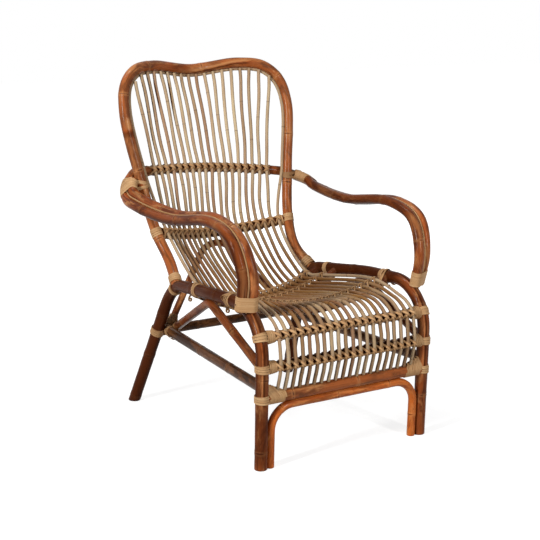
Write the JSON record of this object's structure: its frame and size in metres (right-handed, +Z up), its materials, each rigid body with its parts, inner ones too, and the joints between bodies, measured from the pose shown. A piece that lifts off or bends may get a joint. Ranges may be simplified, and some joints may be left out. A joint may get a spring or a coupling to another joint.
{
  "type": "rattan lounge armchair",
  "caption": "Rattan lounge armchair with a twin-lobed back, canes fanned from the back into a dished seat and over its front, doubled arm poles, arched braces and cane bindings.",
  "frame": {"origin": "on the floor, under the middle of the chair's box", "axes": "+Z up, the sitter faces -Y, +X to the chair's right-hand side as seen from its front"},
  "size_m": [0.6378, 0.8406, 0.9685],
  "materials": {
    "pole": "varnished",
    "dark_pole": "varnished",
    "orange_pole": "varnished",
    "spoke_cane": "satin",
    "binding_cane": "satin"
  },
  "bodies": {
    "root": {"arm_binding_left": "binding_cane", "arm_binding_right": "binding_cane", "arm_bow": "pole", "arm_filler_left": "binding_cane", "arm_filler_right": "binding_cane", "arm_inner_left": "pole", "arm_inner_right": "pole", "back_frame": "pole", "back_hoop": "spoke_cane", "front_arch": "orange_pole", "front_bottom_binding_left": "binding_cane", "front_bottom_binding_right": "binding_cane", "front_bottom_rail": "pole", "front_middle_binding_left": "binding_cane", "front_middle_binding_right": "binding_cane", "front_middle_lashing": "binding_cane", "front_middle_rail": "pole", "front_upper_binding_left": "binding_cane", "front_upper_binding_right": "binding_cane", "front_upper_lashing": "binding_cane", "front_upper_rail": "pole", "lower_back_lashing": "binding_cane", "lower_back_rail": "pole", "rear_arch": "pole", "rear_leg_binding_left": "binding_cane", "rear_leg_binding_right": "binding_cane", "rear_stretcher": "dark_pole", "seat_front_lashing": "binding_cane", "seat_front_rail": "pole", "seat_middle_lashing": "binding_cane", "seat_middle_rail": "pole", "seat_rear_lashing": "binding_cane", "seat_rear_rail": "pole", "side_arch_left": "pole", "side_arch_right": "pole", "side_loop_left": "pole", "side_loop_right": "pole", "side_stretcher_left": "dark_pole", "side_stretcher_right": "dark_pole", "spoke_01": "spoke_cane", "spoke_02": "spoke_cane", "spoke_03": "spoke_cane", "spoke_04": "spoke_cane", "spoke_05": "spoke_cane", "spoke_06": "spoke_cane", "spoke_07": "spoke_cane", "spoke_08": "spoke_cane", "spoke_09": "spoke_cane", "spoke_10": "spoke_cane", "spoke_11": "spoke_cane", "spoke_12": "spoke_cane", "spoke_13": "spoke_cane", "spoke_14": "spoke_cane", "spoke_15": "spoke_cane", "spoke_16": "spoke_cane", "spoke_17": "spoke_cane", "spoke_18": "spoke_cane", "upper_back_lashing": "binding_cane", "upright_binding_left": "binding_cane", "upright_binding_right": "binding_cane"}
  },
  "joints": []
}
